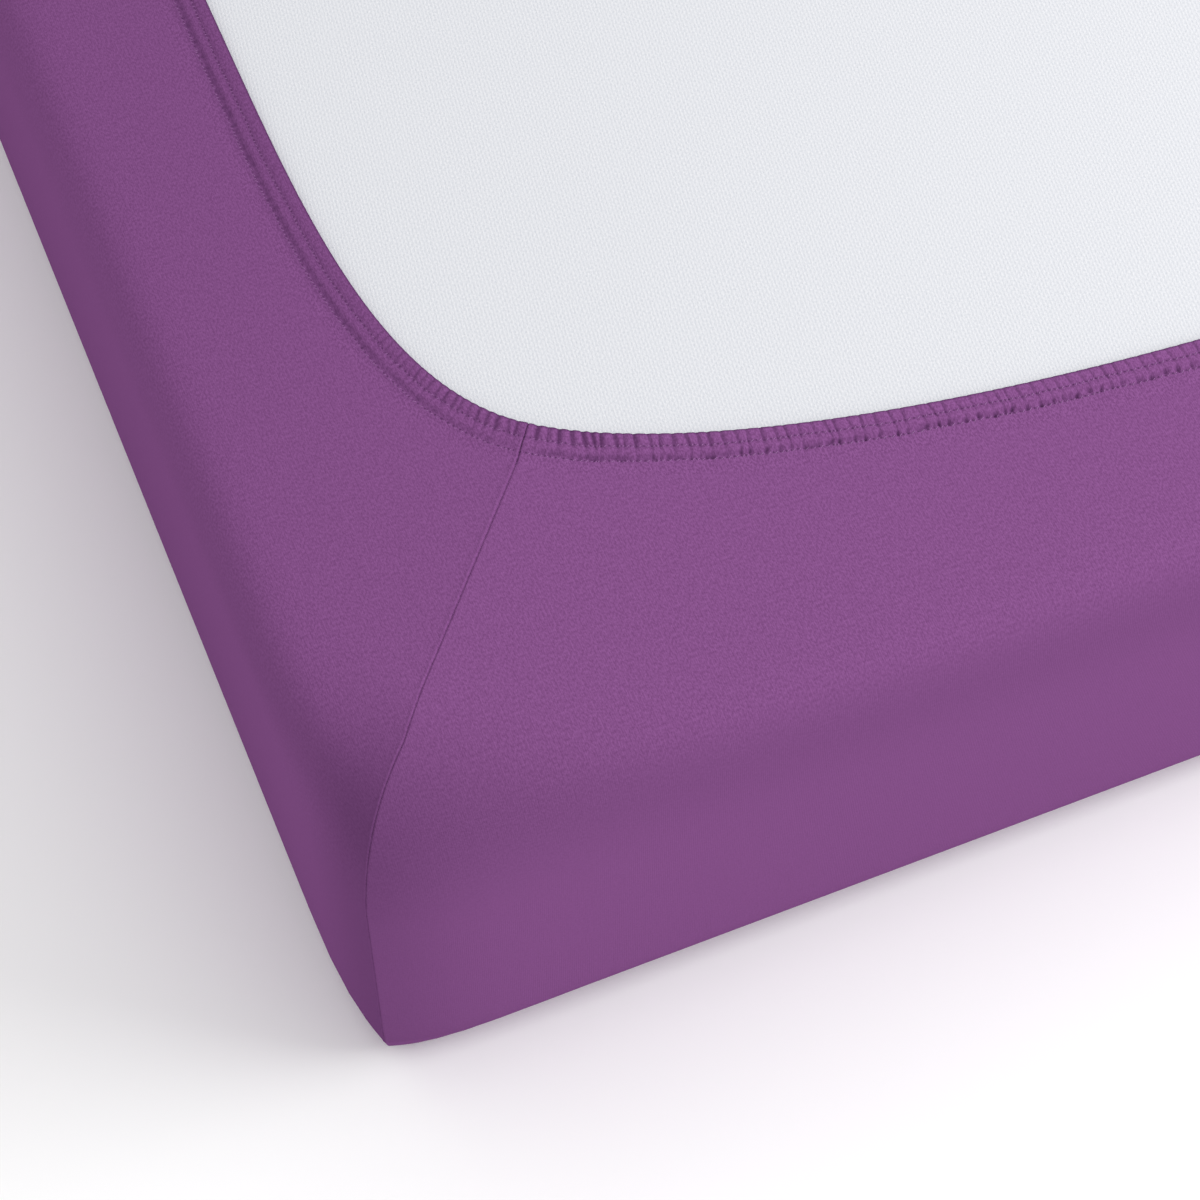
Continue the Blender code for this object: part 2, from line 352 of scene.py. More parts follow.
def cloth_rows():
    """Rows of one corner from the panel to the hem: the columns, the length of cloth from the
    panel's edge, and the inset of the straight part that this length is measured at."""
    rows = []
    for inset in PANEL_INSETS:
        rows.append((columns(half_rings(0.0, inset), 0.0, -math.pi / 2), LOWER_FOLD - inset, inset))
    steps = round(LOWER_ARC / ROW_PITCH / 2)
    for step in range(steps + 1):
        lean = math.pi / 2 * (step / steps - 1)
        inset, height = LOWER_FOLD * (1 - math.cos(lean)), LOWER_FOLD * (1 + math.sin(lean))
        rows.append((columns(half_rings(height, inset), height, lean),
                     LOWER_FOLD * (lean + math.pi / 2), inset))
    steps = round(SIDE_HEIGHT / ROW_PITCH)
    for step in range(1, steps):
        up = SIDE_HEIGHT * step / steps
        rows.append((columns(half_rings(LOWER_FOLD + up, 0.0), LOWER_FOLD + up, 0.0),
                     LOWER_ARC + up, 0.0))
    steps = round(sharp_fold.length / ROW_PITCH)
    for step in range(steps + 1):
        along = sharp_fold.length * step / steps
        rows.append((fold_columns(step / steps), LOWER_ARC + SIDE_HEIGHT + along,
                     sharp_fold.at(along)[0].x))
    fold, band = rows[-1][0], columns(hem_halves(), FLAP_HEIGHT, math.pi / 2, HEM_BAND)
    seam_length = (band[len(band) // 2][0] - fold[len(fold) // 2][0]).length
    steps = round(seam_length / ROW_PITCH)
    for step in range(1, steps + 1):
        line = [(a[0].lerp(b[0], step / steps), *a[1:]) for a, b in zip(fold, band)]
        rows.append((line, FLAP_RUN, UPPER_FOLD))
    return rows


def seam_relief(row, beside, on_long_side, flatness):
    """How far the cloth stands out beside the seam: its groove, the turned edge that lifts the
    long side's cloth, and small puckers.  The flatness is 0 on the sides and 1 on the flap."""
    groove = GROOVE * (GROOVE_SHARES[row % 2] * (1 - flatness) + flatness)
    groove *= bell(beside, GROOVE_WIDTH)
    lip = SEAM_LIP * bell(beside - LIP_PLACE, LIP_WIDTH) if on_long_side else 0.0
    pucker = SEAM_PUCKER * sum(
        size * math.sin(row * pace + start) for size, pace, start in PUCKER_WAVES)
    pucker *= (1 - (1 - FLAP_PUCKER) * flatness) * bell(beside, PUCKER_REACH)
    return lip + pucker * min(beside / PUCKER_START, 1) - groove


def painted_shade(beside, on_long_side, flatness, height):
    """Painted shade at a place, from 0 to 1."""
    depths = LONG_SHADES if on_long_side else SHORT_SHADES
    flap = depths.flap + depths.flap_gain * min(beside / FLAP_GAIN_REACH, 1)
    corner = depths.corner * bell(beside, CORNER_SHADE_REACH)
    fold = depths.fold + depths.fold_gain * bell(beside, depths.reach)
    fold *= bell(height - depths.height, depths.spread)
    return flap * flatness + (corner + fold) * (1 - flatness ** 3)


def flat_place(point, run, inset, on_long_side):
    """Where a point of the near left corner lies on the flat cut, whose ribs run along Y."""
    if on_long_side:
        return (-(CLOTH_WIDTH / 2 - LOWER_FOLD + run + point.x - inset),
                point.y - CLOTH_LENGTH / 2)
    return (point.x - CLOTH_WIDTH / 2,
            -(CLOTH_LENGTH / 2 - LOWER_FOLD + run + point.y - inset))


def cloth_mesh():
    """All four corners of the cloth.  The map "cut" holds each point's place in metres on
    the flat cut, "slack" is 0 where the cloth is pulled tight and 1 on the flap, and
    "shade_and_doubling" is its painted shade, from 0 to 1."""
    rows = cloth_rows()
    points, slack, shade_and_doubling, flats = [], [], [], []
    for number, (line, run, inset) in enumerate(rows):
        # Corners in order round the mattress; the second and fourth run the other way.
        for sign_x, sign_y, backwards in ((1, 1, False), (1, -1, True), (-1, -1, False),
                                          (-1, 1, True)):
            for place, facing, beside, on_long in (line[::-1] if backwards else line)[:-1]:
                flatness = max(facing.z, 0.0) ** 2
                flats.append([(sign_x * u, sign_y * v) for u, v in (
                    flat_place(place, run, inset, side) for side in (False, True))])
                slack.append(max(facing.z, 0.0))
                shade_and_doubling.append(0.0)
                if facing.z > HIDDEN_FACING:
                    # Painted shade by the seam, on the upright corner, along the upper fold and on the
                    # flap.
                    shade_and_doubling[-1] = painted_shade(beside, on_long, flatness, place.z)
                    place = place + facing * seam_relief(number, beside, on_long, flatness)
                points.append((sign_x * (place.x - CLOTH_WIDTH / 2),
                               sign_y * (place.y - CLOTH_LENGTH / 2), place.z))
    around = 4 * (len(line) - 1)
    faces, cut = [tuple(range(around))[::-1]], [flats[index][0] for index in range(around)][::-1]
    for start in range(0, len(points) - around, around):
        for column in range(around):
            after = (column + 1) % around
            face = (start + column, start + after, start + around + after, start + around + column)
            faces.append(face)
            # The long sides lie between the first and second seam and the third and fourth.
            on_long = (column // (len(line) // 2)) % 4 in (1, 2)
            cut += [flats[index][on_long] for index in face]
    mesh = bpy.data.meshes.new("sheet_cloth")
    mesh.from_pydata(points, [], faces)
    layer = mesh.uv_layers.new(name="cut")
    layer.data.foreach_set("uv", [value for place in cut for value in place])
    for attribute, values in (("slack", slack), ("shade_and_doubling", shade_and_doubling)):
        mesh.attributes.new(attribute, "FLOAT", "POINT").data.foreach_set("value", values)
    mesh.shade_smooth()
    return mesh


# Fine single jersey: ribs 0.9 mm apart run along the mattress, with a loop every 0.75 mm.
RIB_PITCH, LOOP_PITCH = 0.0009, 0.00075
LOOP_SLANT, LOOP_HEIGHT = 0.9, 0.8      # beside a rib's 1
KNIT_RELIEF = 0.35                      # a rib's height beside half its width
YARN_RELIEF = 0.0003
# The yarn is now thicker, now thinner: short streaks along the ribs, and wider patches.  This
# shows less where the cloth is pulled tight than on the flap.
STREAKS_PER_METRE, PATCHES_PER_METRE, PATCH_WEIGHT = (1050, 700, 1), 190.0, 0.14
MEAN_GRAIN, TIGHT_GRAIN, SLACK_GRAIN, GRAIN_CONTRAST = 0.57, 0.18, 0.48, 3.2
# The yarn's colours, and the purple that painted shade and the hem's doubled cloth come near.
DARK_PURPLE = (0.174, 0.059, 0.184)
LIGHT_PURPLE = (0.242, 0.088, 0.258)
SHADE_AND_DOUBLED_PURPLE = (0.080, 0.027, 0.091)
NEEDLE_ROWS = (0.0068, 0.0136)          # the hem's two rows of stitches, from its edge
# A needle hole's radius, and the painted shade in it.
NEEDLE_HOLE, HOLE_SHADE = 0.00065, 0.75
HOLE_DEPTH = 1.2                        # beside the yarn's 1
STITCH_LENGTH = 0.0027


def needle_holes(tree):
    """1 at the hem's needle holes; the map "sewn" counts stitches and metres from the edge."""
    sewn = add_node(tree, "ShaderNodeUVMap", {"uv_map": "sewn"}).outputs[0]
    sewn = add_node(tree, "ShaderNodeSeparateXYZ", {}, {0: sewn})
    aside = calculate(tree, "MULTIPLY", calculate(tree, "PINGPONG", sewn.outputs[0], 0.5),
                      STITCH_LENGTH)
    off = [calculate(tree, "ABSOLUTE", calculate(tree, "SUBTRACT", sewn.outputs[1], row))
           for row in NEEDLE_ROWS]
    off = calculate(tree, "MINIMUM", *off)
    away = calculate(tree, "SQRT", calculate(
        tree, "ADD", calculate(tree, "POWER", aside, 2.0), calculate(tree, "POWER", off, 2.0)))
    return add_node(tree, "ShaderNodeMapRange", {"interpolation_type": "SMOOTHSTEP"},
                    {"Value": away, "From Min": NEEDLE_HOLE,
                     "From Max": NEEDLE_HOLE * 0.3}).outputs[0]


def jersey_material():
    material, tree, shader = new_material("purple jersey")
    place = add_node(tree, "ShaderNodeUVMap", {"uv_map": "cut"}).outputs[0]
    slack = add_node(tree, "ShaderNodeAttribute", {"attribute_name": "slack"}).outputs["Fac"]
    shade_and_doubling = add_node(tree, "ShaderNodeAttribute", {"attribute_name": "shade_and_doubling"}).outputs["Fac"]
    across = add_node(tree, "ShaderNodeSeparateXYZ", {}, {0: place})
    half_rib = calculate(tree, "PINGPONG", across.outputs[0], RIB_PITCH / 2)
    slanted = calculate(tree, "MULTIPLY_ADD", half_rib, LOOP_SLANT, across.outputs[1])
    knit = calculate(tree, "MULTIPLY_ADD", calculate(tree, "PINGPONG", slanted, LOOP_PITCH / 2),
                     LOOP_HEIGHT, half_rib)
    streaks = add_node(tree, "ShaderNodeMapping", {}, {"Vector": place, "Scale": STREAKS_PER_METRE})
    uneven = add_node(tree, "ShaderNodeTexNoise", {"noise_dimensions": "2D"},
                      {"Vector": streaks.outputs[0], "Scale": 1.0, "Detail": 1.5,
                       "Roughness": 0.6}).outputs["Fac"]
    patches = add_node(tree, "ShaderNodeTexNoise", {"noise_dimensions": "2D"},
                       {"Vector": place, "Scale": PATCHES_PER_METRE, "Detail": 2.0}).outputs["Fac"]
    strength = calculate(tree, "MULTIPLY_ADD", slack, SLACK_GRAIN, TIGHT_GRAIN)
    grain = calculate(tree, "MULTIPLY_ADD", patches, PATCH_WEIGHT, uneven)
    grain = calculate(tree, "MULTIPLY", calculate(tree, "SUBTRACT", grain, MEAN_GRAIN), strength)
    tone = calculate(tree, "MULTIPLY_ADD", grain, GRAIN_CONTRAST, 0.5)
    cloth = mix_colours(tree, tone, DARK_PURPLE, LIGHT_PURPLE)
    holes = needle_holes(tree)
    # Painted shade: the attribute and the needle holes take the yarn's colour towards the shaded
    # purple; on the hem the attribute also holds the doubled cloth's deeper tone.
    deep = calculate(tree, "MAXIMUM", shade_and_doubling, calculate(tree, "MULTIPLY", holes, HOLE_SHADE))
    tree.links.new(mix_colours(tree, deep, cloth, SHADE_AND_DOUBLED_PURPLE), shader.inputs["Base Color"])
    sunk = calculate(tree, "MULTIPLY_ADD", holes, -HOLE_DEPTH,
                     calculate(tree, "MULTIPLY", uneven, strength))
    soft = add_node(tree, "ShaderNodeBump", {},
                    {"Height": sunk, "Strength": 0.5, "Distance": YARN_RELIEF})
    fine = add_node(tree, "ShaderNodeBump", {},
                    {"Height": knit, "Strength": 0.3, "Distance": KNIT_RELIEF,
                     "Normal": soft.outputs[0]})
    tree.links.new(fine.outputs[0], shader.inputs["Normal"])
    shader.inputs["Roughness"].default_value = 0.9
    shader.inputs["Specular IOR Level"].default_value = 0.0
    return material


jersey = jersey_material()
sheet = bpy.data.objects.new("sheet_cloth", cloth_mesh())
bpy.context.scene.collection.objects.link(sheet)
sheet.data.materials.append(jersey)
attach(sheet, "root")
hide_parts("fitted_sheet")

# -------------------------------------------------------------------------- elastic hem
# The cloth's edge is turned under round a flat elastic and sewn down in two rows while the
# elastic is stretched.  Slack again, it gathers the tunnel into ridges two stitches wide,
# and the second row draws the cloth above it into small pockets.
# Section through the hem in mm: distance from the edge, height over the flap, and the shares
# of the gathers' depth, of the pockets' depth and of the painted shade under the rolled edge.
HEM_SECTION = (
    (22.0, -0.02, 0.00, 0.00, 0.0),
    (18.5, 0.00, 0.02, 0.00, 0.0),
    (16.6, 0.02, 0.04, 0.04, 0.0),
    (15.5, 0.06, 0.06, 0.10, 0.0),
    (14.8, 0.12, 0.06, 0.20, 0.0),
    (14.3, 0.18, 0.06, 0.45, 0.0),
    (13.9, 0.22, 0.06, 0.80, 0.0),
    (13.5, 0.34, 0.08, 1.00, 0.0),
    (12.9, 0.62, 0.10, 1.00, 0.0),
    (12.2, 0.92, 0.12, 1.00, 0.0),
    (11.4, 1.18, 0.14, 0.95, 0.0),
    (10.6, 1.36, 0.18, 0.75, 0.0),
    (9.8, 1.46, 0.24, 0.45, 0.0),
    (8.8, 1.48, 0.32, 0.15, 0.0),
    (8.0, 1.44, 0.42, 0.00, 0.0),
    (7.4, 1.40, 0.50, 0.00, 0.0),
    (6.8, 1.40, 0.60, 0.00, 0.0),
    (6.2, 1.44, 0.78, 0.00, 0.0),
    (5.6, 1.52, 0.92, 0.00, 0.0),
    (4.8, 1.64, 1.00, 0.00, 0.0),
    (3.8, 1.74, 1.00, 0.00, 0.0),
    (2.8, 1.80, 1.00, 0.00, 0.0),
    (2.0, 1.80, 1.00, 0.00, 0.0),
    (1.4, 1.76, 0.98, 0.00, 0.2),
    (0.9, 1.66, 0.92, 0.00, 0.6),
    (0.5, 1.44, 0.80, 0.00, 0.9),
    (0.2, 1.06, 0.60, 0.00, 1.0),
    (0.0, 0.45, 0.35, 0.00, 1.0),
    (0.1, -0.30, 0.10, 0.00, 1.0),
    (0.9, -1.20, 0.00, 0.00, 1.0),
    (3.0, -1.60, 0.00, 0.00, 1.0),
)
# The gathers' measures in mm: pitch; depth and half width of the valleys; slant of the ridges
# between them; the share of a valley that carries on between the rows; depth of the pockets
# and of the trough that joins them; dip at the first row; how far the thread is sunk in; and
# how much deeper the doubled cloth's colour looks.  The long side is cut along the ribs and
# gathers less.
Gathers = namedtuple("Gathers", "pitch depth half_width slant carried pocket trough dip thread doubled")
SHORT_BY_SEAM = Gathers(4.8, 1.25, 1.15, 0.35, 0.8, 0.80, 0.20, 0.30, 0.16, 0.00)
SHORT_BEYOND = Gathers(5.7, 0.48, 0.62, 0.35, 2.2, 1.30, 0.07, 0.26, 0.00, 0.00)
LONG_BY_SEAM = Gathers(4.2, 1.20, 0.85, 0.32, 0.9, 0.35, 0.10, 0.18, 0.20, 0.02)
LONG_BEYOND = Gathers(3.6, 0.14, 0.42, 0.08, 2.0, 0.52, 0.36, 0.16, 0.16, 0.13)
SHORT_REACH, LONG_REACH = 0.085, 0.070  # the distance over which they change
LONG_SLOPE = 0.28                       # how much lower its cushion between the rows lies
SLOPE_FROM, SLOPE_TO = 5, 8             # mm from the edge
# The rows stand further from the edge beside the seam than along the rest, in mm at row two.
SHORT_WIDENING, LONG_WIDENING, WIDENING_REACH = (1.6, -0.3), (1.8, 0.6), 0.055
WIDENED_MOST, WIDENED_UP_TO = 14, 20    # mm from the edge
# The rows wander off their line: size in mm, length along the hem in m, start.
ROW_WAVES = ((0.22, 0.0110, 0), (0.14, 0.0043, 2))
# What chance gives, from the least to the most: to the pitch, depth and lean of the valleys,
# to the place of a long side's holes in stitches, to the depth of strong and of weak pockets,
# and to a pocket's place in m, distance from the edge and half width in mm, and lean.
PITCH_CHANCE, VALLEY_CHANCE, LEAN_CHANCE = (0.8, 1.2), (0.55, 1.2), (0.02, 0.36)
HOLE_CHANCE, STRONG_CHANCE, WEAK_CHANCE = (-0.2, 0.2), (0.55, 1.15), (0.0, 0.55)
PLACE_CHANCE, CENTRE_CHANCE = (-0.0006, 0.0006), (12.0, 13.4)
WIDTH_CHANCE, POCKET_LEAN_CHANCE = (0.80, 1.45), (-0.35, 0.45)
ALL_STRONG_CHANCE = (0.02, 0.09)        # how far from the seam every pocket is a strong one
POCKETS_FROM, TROUGH_FROM = 0.007, 0.006  # where they begin beside the seam
POCKET_LINE = 12                        # mm from the edge, where a leaning pocket stays in place
POCKET_IN, POCKET_OUT = 1.5, 0.9        # half heights in mm, to the edge and away from it
SHORT_TROUGH_LINE, LONG_TROUGH_LINE = 12.8, 12.1  # mm from the edge
TROUGH_WIDTH, DIP_WIDTH = 1.3, 1.05     # half widths in mm
BETWEEN_ROWS = 7                        # mm from the edge, where a valley is carried on
LEANS_UP_TO = 8                         # mm from the edge; the valleys run straight from there
DOUBLED_UP_TO, DOUBLED_EASE = 17.5, 3   # mm from the edge, where the turned-under cloth ends
# Painted shade for each mm of a valley and of a pocket, at the rolled edge and in the seam's
# join, and the join's half width.
VALLEY_SHADE, POCKET_SHADE, EDGE_SHADE = 0.36, 0.50, 0.95
JOIN_SHADE, JOIN_WIDTH = 0.4, 0.0004
SHORT_COLUMNS = (0.0, 0.06, 0.13, 0.22, 0.35, 0.5, 0.65, 0.78, 0.87, 0.94)
LONG_COLUMNS = (0.0, 0.13, 0.3, 0.5, 0.7, 0.87)
NEAR_SEAM = 0.003                       # up to there the columns are those of the cloth
HEM_SLACK = 1.7                         # beside the flap's 1


class Hem:
    """The hem along one side of the mattress, from seam to seam."""

    def __init__(self, path, long_side, shares, seed):
        chance = random.Random(seed)
        self.path, self.long_side = path, long_side
        self.valleys = [0.0]
        while self.valleys[-1] < path.length:
            pitch = self.style(self.valleys[-1]).pitch / 1000
            self.valleys.append(self.valleys[-1] + pitch * chance.uniform(*PITCH_CHANCE))
        self.valleys = [along * path.length / self.valleys[-1] for along in self.valleys]
        self.depths = [chance.uniform(*VALLEY_CHANCE) for _ in self.valleys]
        self.leans = [chance.uniform(*LEAN_CHANCE) for _ in self.valleys]
        self.depths[0] = self.depths[-1] = self.leans[0] = self.leans[-1] = 0.0
        # Needle holes: on a short side in each valley and each ridge, on a long side evenly.
        if not long_side:
            self.holes = sorted(self.valleys + [
                (a + b) / 2 for a, b in zip(self.valleys, self.valleys[1:])])
        else:
            count = round(path.length / STITCH_LENGTH)
            self.holes = [path.length * (number + chance.uniform(*HOLE_CHANCE)) / count
                          for number in range(1, count)]
            self.holes = [0.0, *self.holes, path.length]
        # A pocket at each hole: place, distance from the edge, depth, half width and lean; and
        # one of no depth beyond each end.
        self.pockets = [(-1.0, POCKET_LINE, 0, 1, 0)]
        for number, hole in enumerate(self.holes[1:-1], 1):
            from_seam = min(hole, path.length - hole)
            depth = self.style(hole).pocket * (1 - bell(from_seam, POCKETS_FROM))
            strong = number % 2 == 0 or from_seam < chance.uniform(*ALL_STRONG_CHANCE)
            depth *= chance.uniform(*(STRONG_CHANCE if strong else WEAK_CHANCE))
            self.pockets.append((
                hole + chance.uniform(*PLACE_CHANCE), chance.uniform(*CENTRE_CHANCE), depth,
                chance.uniform(*WIDTH_CHANCE), chance.uniform(*POCKET_LEAN_CHANCE)))
        self.pockets.append((path.length + 1, POCKET_LINE, 0, 1, 0))
        near_seam = [mark for mark in BESIDE_SEAM if mark < NEAR_SEAM]
        self.stations = [start + share * (end - start)
                         for start, end in zip(self.valleys, self.valleys[1:]) for share in shares]
        self.stations = sorted(
            [along for along in self.stations if NEAR_SEAM < along < path.length - NEAR_SEAM]
            + near_seam + [path.length - mark for mark in near_seam])

    def style(self, along):
        """The gathers' measures at a place, between those by the seam and those far from it."""
        near, far, reach = ((LONG_BY_SEAM, LONG_BEYOND, LONG_REACH) if self.long_side
                            else (SHORT_BY_SEAM, SHORT_BEYOND, SHORT_REACH))
        share = bell(min(along, self.path.length - along), reach)
        return Gathers(*(b + share * (a - b) for a, b in zip(near, far)))

    def widened(self, along, distance):
        """A distance of the section, moved out or in with the band's width at a place, in mm."""
        near, far = LONG_WIDENING if self.long_side else SHORT_WIDENING
        share = bell(min(along, self.path.length - along), WIDENING_REACH)
        extra = far + share * (near - far)
        beyond = (WIDENED_UP_TO - distance) / (WIDENED_UP_TO - WIDENED_MOST)
        return distance + extra * max(min(distance / WIDENED_MOST, beyond, 1), 0)

    def row_wave(self, along):
        """How far the rows of stitches wander off their line, in mm."""
        return sum(size * math.sin(along / length + start) for size, length, start in ROW_WAVES)

    def surface(self, along, section):
        """Place of the cloth at a distance from the first seam, its height over the flap in
        mm, its painted shade with the doubled cloth's deeper tone, and the number of stitches up to
        there."""
        distance, height, gather_share, pocket_share, edge_shade = section
        style = self.style(along)
        from_seam = min(along, self.path.length - along)
        index = min(max(bisect_right(self.valleys, along) - 1, 0), len(self.valleys) - 2)
        start, end = self.valleys[index:index + 2]
        share = (along - start) / (end - start)
        valley = sum(self.depths[number] * bell(1000 * away, style.half_width)
                     for number, away in ((index, along - start), (index + 1, end - along)))
        carried = style.carried if distance > BETWEEN_ROWS else 1
        valley *= style.depth * min(gather_share * carried, 1)
        slant = style.slant * gather_share * share
        hole = min(max(bisect_right(self.holes, along) - 1, 0), len(self.holes) - 2)
        stitches = hole + (along - self.holes[hole]) / (self.holes[hole + 1] - self.holes[hole])
        sunk = 0.0
        for place, centre, deep, wide, lean in self.pockets[max(hole - 1, 0):hole + 4]:
            away = 1000 * (along - place) + lean * (distance - POCKET_LINE)
            tall = POCKET_IN if distance < centre else POCKET_OUT
            sunk += deep * bell(away, wide) * bell(centre - distance, tall)
        trough_line = LONG_TROUGH_LINE if self.long_side else SHORT_TROUGH_LINE
        sunk += style.trough * (1 - bell(from_seam, TROUGH_FROM)) * bell(
            distance - trough_line, TROUGH_WIDTH)
        sunk *= pocket_share
        first_row = 1000 * NEEDLE_ROWS[0] + self.row_wave(along)
        sunk += style.dip * bell(distance - first_row, DIP_WIDTH)
        if self.long_side:
            outwards = min(max((distance - SLOPE_FROM) / (SLOPE_TO - SLOPE_FROM), 0), 1)
            height *= 1 - LONG_SLOPE * outwards ** 2 * (3 - 2 * outwards)
        height += 1000 * seam_relief(0, from_seam, self.long_side, 1.0) - valley - slant - sunk
        # The doubled cloth's deeper tone, and painted shade in the valleys, pockets, rolled edge and
        # join.
        shade_and_doubling = style.doubled * min(max((DOUBLED_UP_TO - distance) / DOUBLED_EASE, 0), 1)
        shade_and_doubling += painted_shade(from_seam, self.long_side, 1.0, FLAP_HEIGHT)
        shade_and_doubling += VALLEY_SHADE * valley + POCKET_SHADE * sunk
        shade_and_doubling = max(min(shade_and_doubling, 1), EDGE_SHADE * edge_shade,
                     JOIN_SHADE * bell(from_seam, JOIN_WIDTH))
        lean = self.leans[index] * (1 - share) + self.leans[index + 1] * share
        point, direction = self.path.at(along + lean * min(distance, LEANS_UP_TO) / 1000)
        outwards = Vector((direction.y, -direction.x)) / 1000
        return point + outwards * self.widened(along, distance), height, shade_and_doubling, stitches


def side_path(halves, long_side):
    """The hem's edge along the near short side or the left long side, in the frame."""
    half = [Vector((point.x - CLOTH_WIDTH / 2, point.y - CLOTH_LENGTH / 2))
            for point in halves[1 if long_side else 0]]
    if long_side:
        mirrored = [Vector((point.x, -point.y)) for point in half]
        return Path(mirrored[:-1] + half[::-1])
    mirrored = [Vector((-point.x, point.y)) for point in half]
    return Path(half[:-1] + mirrored[::-1])


def hem_mesh(name, hem, long_side, turned):
    """The gathered strip; the far and the right side are the near and left one's, turned."""
    sign = -1 if turned else 1
    points, flat, sewn, shade_and_doubling, faces = [], [], [], [], []
    for along in hem.stations:
        for section in HEM_SECTION:
            place, height, fold, stitches = hem.surface(along, section)
            points.append((sign * place.x, sign * place.y, FLAP_HEIGHT + height / 1000))
            from_sides = place + Vector((CLOTH_WIDTH, CLOTH_LENGTH)) / 2
            flat.append([sign * value for value in flat_place(
                from_sides, FLAP_RUN, UPPER_FOLD, long_side)])
            sewn.append((stitches, (section[0] - hem.row_wave(along)) / 1000))
            shade_and_doubling.append(fold)
    rows = len(HEM_SECTION)
    for column in range(len(hem.stations) - 1):
        for row in range(rows - 1):
            start = column * rows + row
            faces.append((start, start + rows, start + rows + 1, start + 1))
    mesh = bpy.data.meshes.new(name)
    mesh.from_pydata(points, [], faces)
    for map_name, places in (("cut", flat), ("sewn", sewn)):
        layer = mesh.uv_layers.new(name=map_name)
        layer.data.foreach_set(
            "uv", [value for loop in mesh.loops for value in places[loop.vertex_index]])
    mesh.attributes.new("shade_and_doubling", "FLOAT", "POINT").data.foreach_set("value", shade_and_doubling)
    mesh.attributes.new("slack", "FLOAT", "POINT").data.foreach_set("value", [HEM_SLACK] * len(points))
    mesh.shade_smooth()
    return mesh


HEM_SIDES = (("near", False, False, 3), ("far", False, True, 11),
             ("left", True, False, 7), ("right", True, True, 19))
hems = {}
for side, long_side, turned, seed in HEM_SIDES:
    shares = LONG_COLUMNS if long_side else SHORT_COLUMNS
    hems[side] = Hem(side_path(hem_halves(), long_side), long_side, shares, seed)
    name = f"hem_{side}"
    piece = bpy.data.objects.new(name, hem_mesh(name, hems[side], long_side, turned))
    bpy.context.scene.collection.objects.link(piece)
    piece.data.materials.append(jersey)
    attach(piece, "root")

# ---------------------------------------------------------------------------- stitches
# Spun polyester thread in the cloth's purple with painted sheen: two rows of lockstitch hold the
# hem's tunnel, 6.8 and 13.6 mm from its edge.  They lie slanting and are drawn down into the cloth.
THREAD_RADIUS = 0.00019
# Colours that vary with the thread's twist; the light one is lifted as a painted sheen.
DARK_THREAD, SHEEN_THREAD = (0.215, 0.078, 0.236), (0.345, 0.148, 0.372)
THREAD_TWISTS_PER_METRE, TWIST_RELIEF = 2500.0, 0.0001
# Along a stitch: share of its length, offset across the row and height over the cloth, in mm.
STITCH_POINTS = ((0.26, 0.80, -0.22), (0.37, 0.48, 0.08), (0.50, 0.10, 0.17), (0.63, -0.28, 0.08),
                 (0.74, -0.60, -0.22))


def thread_tube(points, faces, line):
    """Adds one stitch: a four-sided thread through a line of points."""
    start = len(points)
    for index, point in enumerate(line):
        ahead = line[min(index + 1, len(line) - 1)] - line[max(index - 1, 0)]
        sideways = ahead.cross(Vector((0, 0, 1))).normalized()
        upwards = sideways.cross(ahead).normalized()
        for turn in range(4):
            angle = math.pi / 2 * turn
            points.append(point + THREAD_RADIUS * (
                math.cos(angle) * sideways + math.sin(angle) * upwards))
    for ring in range(len(line) - 1):
        for turn in range(4):
            a, b = start + 4 * ring + turn, start + 4 * ring + (turn + 1) % 4
            faces.append((a, b, b + 4, a + 4))


def stitch_mesh(name, hem, turned):
    sign = -1 if turned else 1
    points, faces = [], []
    for row in NEEDLE_ROWS:
        section = min(HEM_SECTION, key=lambda section: abs(section[0] - 1000 * row))
        for start, end in zip(hem.holes[1:], hem.holes[2:-1]):
            line = []
            for share, offset, lift in STITCH_POINTS:
                along = start + share * (end - start)
                place, height, _, _ = hem.surface(
                    along, (1000 * row + hem.row_wave(along) + offset, *section[1:]))
                height += lift - hem.style(along).thread
                line.append(Vector((sign * place.x, sign * place.y, FLAP_HEIGHT + height / 1000)))
            thread_tube(points, faces, line)
    mesh = bpy.data.meshes.new(name)
    mesh.from_pydata(points, [], faces)
    mesh.shade_smooth()
    return mesh


def thread_material():
    material, tree, shader = new_material("purple thread")
    twist = add_node(tree, "ShaderNodeTexNoise", {},
                     {"Scale": THREAD_TWISTS_PER_METRE, "Detail": 1.0}).outputs["Fac"]
    colour = mix_colours(tree, twist, DARK_THREAD, SHEEN_THREAD)
    tree.links.new(colour, shader.inputs["Base Color"])
    bump = add_node(tree, "ShaderNodeBump", {},
                    {"Height": twist, "Strength": 0.4, "Distance": TWIST_RELIEF})
    tree.links.new(bump.outputs[0], shader.inputs["Normal"])
    shader.inputs["Roughness"].default_value = 0.55
    return material


thread = thread_material()
for side, long_side, turned, seed in HEM_SIDES:
    name = f"hem_stitches_{side}"
    piece = bpy.data.objects.new(name, stitch_mesh(name, hems[side], turned))
    bpy.context.scene.collection.objects.link(piece)
    piece.data.materials.append(thread)
    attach(piece, "root")

# ------------------------------------------------------------------- floor, light, camera
# A pale studio floor and soft light: an even white surround, a wide panel overhead, and a
# low panel on the right, which leaves the left side of the sheet darker.
FLOOR_REACH, FLOOR_HEIGHT = 15, -0.001
SURROUND_STRENGTH = 0.81
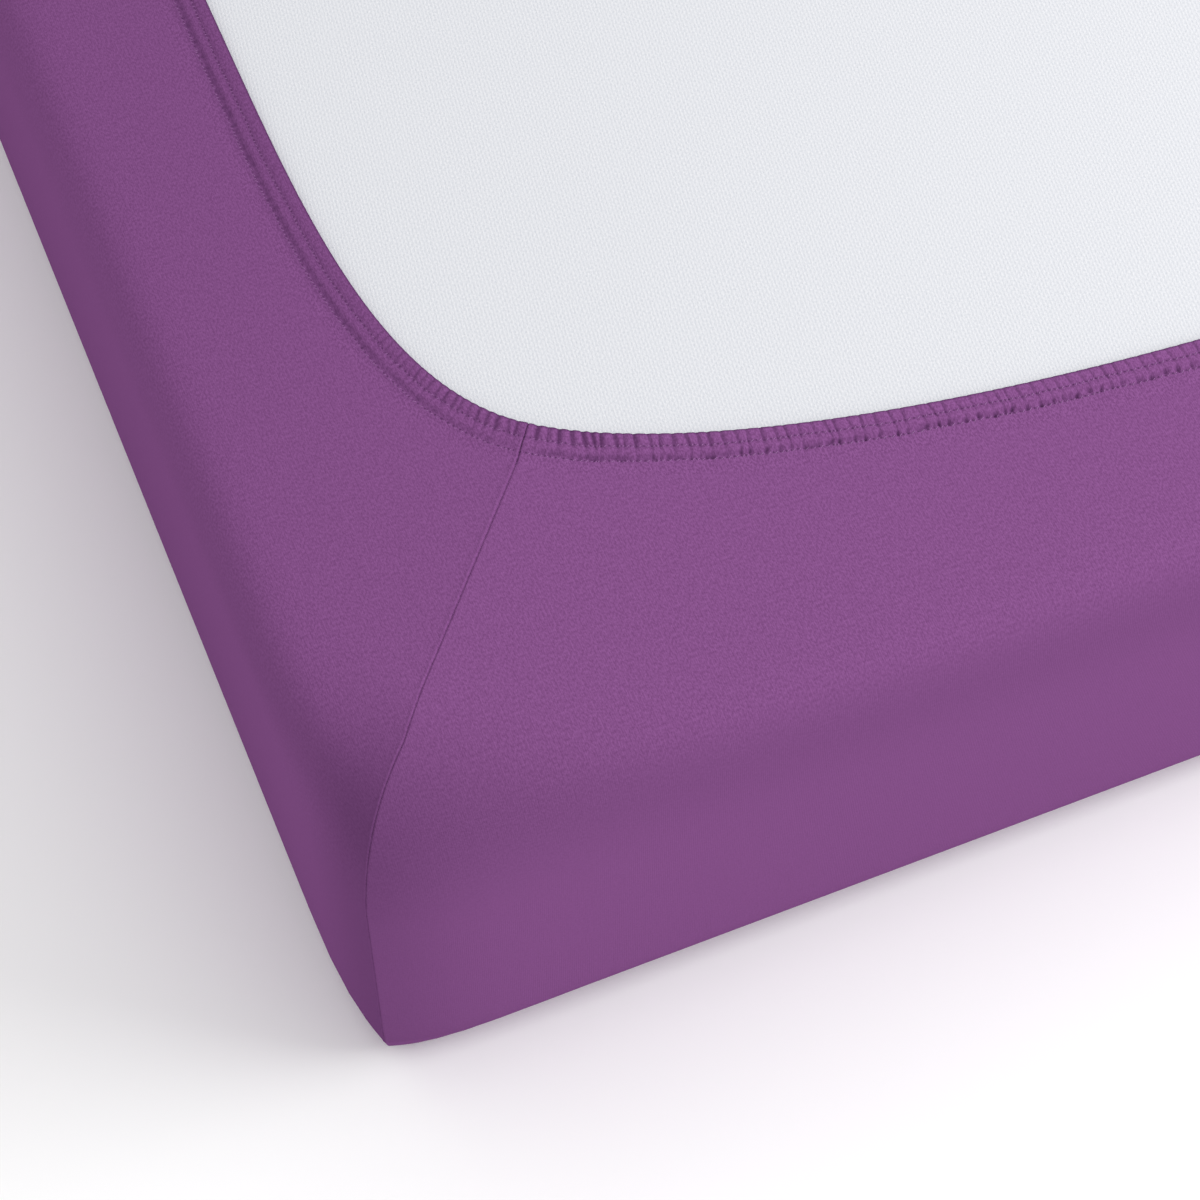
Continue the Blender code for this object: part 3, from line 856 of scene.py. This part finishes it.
# Name, place, the point that it faces, size and watts.
LIGHT_PANELS = (("panel overhead", (0.15, -0.10, 2.6), (0.0, 0.0, 0.0), 3.4, 11.5),
                ("panel right", (1.48, -1.60, 1.35), (-0.35, -0.80, 0.15), 1.6, 37.5))
CAMERA_PLACE = (-0.8259, -1.5752, 1.3706)
LOOKS_DOWN, LOOKS_ALONG = 58.58, 67.71  # degrees below the level, and from the X axis
LENS, FILM_WIDTH = 96.84, 36            # in mm

floor_mesh = bpy.data.meshes.new("floor")
floor_mesh.from_pydata([(x * FLOOR_REACH, y * FLOOR_REACH, FLOOR_HEIGHT)
                        for x, y in ((-1, -1), (1, -1), (1, 1), (-1, 1))], [], [(0, 1, 2, 3)])
floor = bpy.data.objects.new("floor", floor_mesh)
bpy.context.scene.collection.objects.link(floor)
material, tree, shader = new_material("pale floor")
shader.inputs["Base Color"].default_value = (0.97, 0.97, 0.97, 1)
shader.inputs["Roughness"].default_value = 0.9
shader.inputs["Specular IOR Level"].default_value = 0.0
floor_mesh.materials.append(material)

world = bpy.data.worlds.new("surround")
bpy.context.scene.world = world
world.use_nodes = True
world.node_tree.nodes["Background"].inputs["Color"].default_value = (1, 1, 1, 1)
world.node_tree.nodes["Background"].inputs["Strength"].default_value = SURROUND_STRENGTH

for name, place, target, size, watts in LIGHT_PANELS:
    light = bpy.data.lights.new(name, "AREA")
    light.shape = "SQUARE"
    light.size = size
    light.energy = watts
    lamp = bpy.data.objects.new(name, light)
    bpy.context.scene.collection.objects.link(lamp)
    lamp.location = place
    lamp.rotation_euler = (Vector(target) - Vector(place)).to_track_quat("-Z", "Y").to_euler()
    lamp.visible_camera = False

camera = bpy.data.objects.new("camera", bpy.data.cameras.new("camera"))
bpy.context.scene.collection.objects.link(camera)
camera.location = CAMERA_PLACE
camera.rotation_euler = (math.radians(90 - LOOKS_DOWN), 0, math.radians(LOOKS_ALONG - 90))
camera.data.sensor_width = FILM_WIDTH
camera.data.lens = LENS
camera.data.clip_start = 0.05
camera.data.clip_end = 60
bpy.context.scene.camera = camera
bpy.context.scene.view_settings.view_transform = "Standard"
